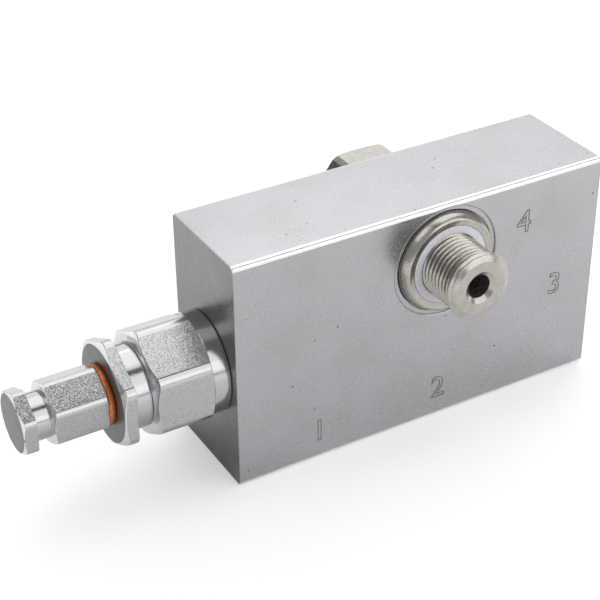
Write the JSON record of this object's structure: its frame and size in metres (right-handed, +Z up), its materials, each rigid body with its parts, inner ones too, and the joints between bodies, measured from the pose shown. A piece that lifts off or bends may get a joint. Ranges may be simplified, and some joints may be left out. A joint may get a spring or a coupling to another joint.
{
  "type": "counterbalance valve",
  "caption": "Counterbalance valve: a steel block with a screw adjuster on one end, a hollow banjo bolt through it, ports in its base and other end, and spring, poppet and seals inside.",
  "frame": {"origin": "On the block's base face, at mid-depth, 38.5 mm from the face that carries the adjuster, on the metal between the two lower ports", "axes": "+X from the adjuster to the pilot port, +Y from the hollow bolt's tip to its head, +Z up from the base face with the two lower ports"},
  "size_m": [0.1475, 0.0531, 0.059],
  "materials": {
    "zinc_block": "bright zinc-plated steel, smooth machined faces",
    "zinc_turned": "satin zinc-plated steel turned from bar",
    "nickel": "warm bright nickel-coloured plating",
    "hard_steel": "ground hardened steel, oiled",
    "spring_steel": "dark drawn spring wire",
    "copper": "bare copper, orange-brown",
    "white_seal": "white plastic, smooth",
    "black_seal": "black nitrile rubber, matte"
  },
  "bodies": {
    "block": {"valve_body": "zinc_block", "spring_housing": "zinc_turned", "hollow_bolt": "nickel", "front_ring": "nickel", "front_seal": "white_seal", "rear_washer": "zinc_turned", "rear_seal": "black_seal", "housing_o_ring": "black_seal", "poppet_guide": "hard_steel", "guide_o_ring": "black_seal", "stem_seal": "black_seal", "main_spring": "spring_steel", "check_spring": "spring_steel"},
    "spring_seat": {"upper_spring_plate": "hard_steel"},
    "screw": {"adjusting_screw": "hard_steel"},
    "nut_seal": {"screw_seal": "black_seal"},
    "nut": {"lock_nut": "zinc_turned"},
    "cap_washer": {"copper_washer": "copper"},
    "cap": {"cap_nut": "zinc_turned"},
    "poppet": {"relief_poppet": "hard_steel", "pilot_seal": "black_seal", "lower_spring_plate": "hard_steel"},
    "seat": {"check_sleeve": "hard_steel", "sleeve_o_ring": "black_seal", "sleeve_backup_ring": "white_seal"}
  },
  "joints": [
    {"name": "adjusting_travel", "type": "slide", "parent": "block", "child": "spring_seat", "axis": [1, 0, 0], "range_m": [-0.0015, 0.002], "deforming": ["main_spring"]},
    {"name": "adjusting_turn", "type": "hinge", "parent": "spring_seat", "child": "screw", "pos_m": [-0.062, 0, 0.0272], "axis": [1, 0, 0], "range_deg": [-541, 721]},
    {"name": "nut_travel", "type": "slide", "parent": "block", "child": "nut_seal", "axis": [1, 0, 0], "range_m": [-0.002, 0]},
    {"name": "nut_turn", "type": "hinge", "parent": "nut_seal", "child": "nut", "pos_m": [-0.0608, 0, 0.0272], "axis": [1, 0, 0], "range_deg": [-721, 1]},
    {"name": "cap_travel", "type": "slide", "parent": "nut", "child": "cap_washer", "axis": [1, 0, 0], "range_m": [-0.007, 0]},
    {"name": "cap_turn", "type": "hinge", "parent": "cap_washer", "child": "cap", "pos_m": [-0.0762, 0, 0.0272], "axis": [1, 0, 0], "range_deg": [-2521, 1]},
    {"name": "relief_stroke", "type": "slide", "parent": "block", "child": "poppet", "axis": [-1, 0, 0], "range_m": [0, 0.002], "stiffness_N_per_m": 47000, "deforming": ["main_spring"]},
    {"name": "check_lift", "type": "slide", "parent": "block", "child": "seat", "axis": [1, 0, 0], "range_m": [0, 0.003], "stiffness_N_per_m": 760, "deforming": ["check_spring"]}
  ],
  "couplings": [
    {"joint": "adjusting_turn", "follows": "adjusting_travel", "rad_per_m": 6283.2},
    {"joint": "nut_turn", "follows": "nut_travel", "rad_per_m": 6283.2},
    {"joint": "cap_turn", "follows": "cap_travel", "rad_per_m": 6283.2}
  ]
}
